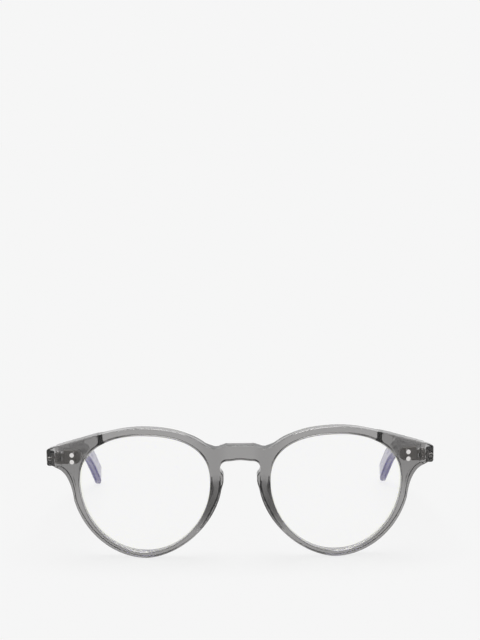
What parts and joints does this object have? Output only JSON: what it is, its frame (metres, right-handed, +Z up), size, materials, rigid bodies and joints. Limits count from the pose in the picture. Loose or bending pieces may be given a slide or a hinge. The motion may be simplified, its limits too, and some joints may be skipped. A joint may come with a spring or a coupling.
{
  "type": "round eyeglasses",
  "caption": "Round keyhole-bridge eyeglasses in clear grey acetate with clear lenses, riveted hinges and folding temples.",
  "frame": {"origin": "on the surface that the glasses stand on, under the middle of the open glasses", "axes": "+X towards the wearer's left, +Y from the front back along the temples, +Z up; the glasses stand open on the rims' lower edges and the temple tips"},
  "size_m": [0.1378, 0.147, 0.0471],
  "materials": {
    "grey_acetate": "polished clear grey cellulose acetate",
    "clear_lens": "clear, with a faint violet anti-reflection coating",
    "hinge_steel": "satin nickel silver",
    "rivet_steel": "polished"
  },
  "bodies": {
    "front": {"frame_front": "grey_acetate", "lens_left": "clear_lens", "lens_right": "clear_lens", "nose_pad_left": "grey_acetate", "nose_pad_right": "grey_acetate", "front_hinge_left": "hinge_steel", "front_hinge_right": "hinge_steel", "front_rivet_left_upper": "rivet_steel", "front_rivet_left_lower": "rivet_steel", "front_rivet_right_upper": "rivet_steel", "front_rivet_right_lower": "rivet_steel", "hinge_screw_left": "rivet_steel", "hinge_screw_right": "rivet_steel"},
    "left_temple": {"temple_left": "grey_acetate", "temple_hinge_left": "hinge_steel", "core_wire_left": "rivet_steel", "temple_rivet_left_front": "rivet_steel", "temple_rivet_left_rear": "rivet_steel"},
    "right_temple": {"temple_right": "grey_acetate", "temple_hinge_right": "hinge_steel", "core_wire_right": "rivet_steel", "temple_rivet_right_front": "rivet_steel", "temple_rivet_right_rear": "rivet_steel"}
  },
  "joints": [
    {"name": "left_temple_fold", "type": "hinge", "parent": "front", "child": "left_temple", "pos_m": [0.06414, -0.06006, 0.03507], "axis": [0, 0, 1], "range_deg": [0, 88]},
    {"name": "right_temple_fold", "type": "hinge", "parent": "front", "child": "right_temple", "pos_m": [-0.06414, -0.06006, 0.03507], "axis": [0, 0, -1], "range_deg": [0, 83]}
  ]
}
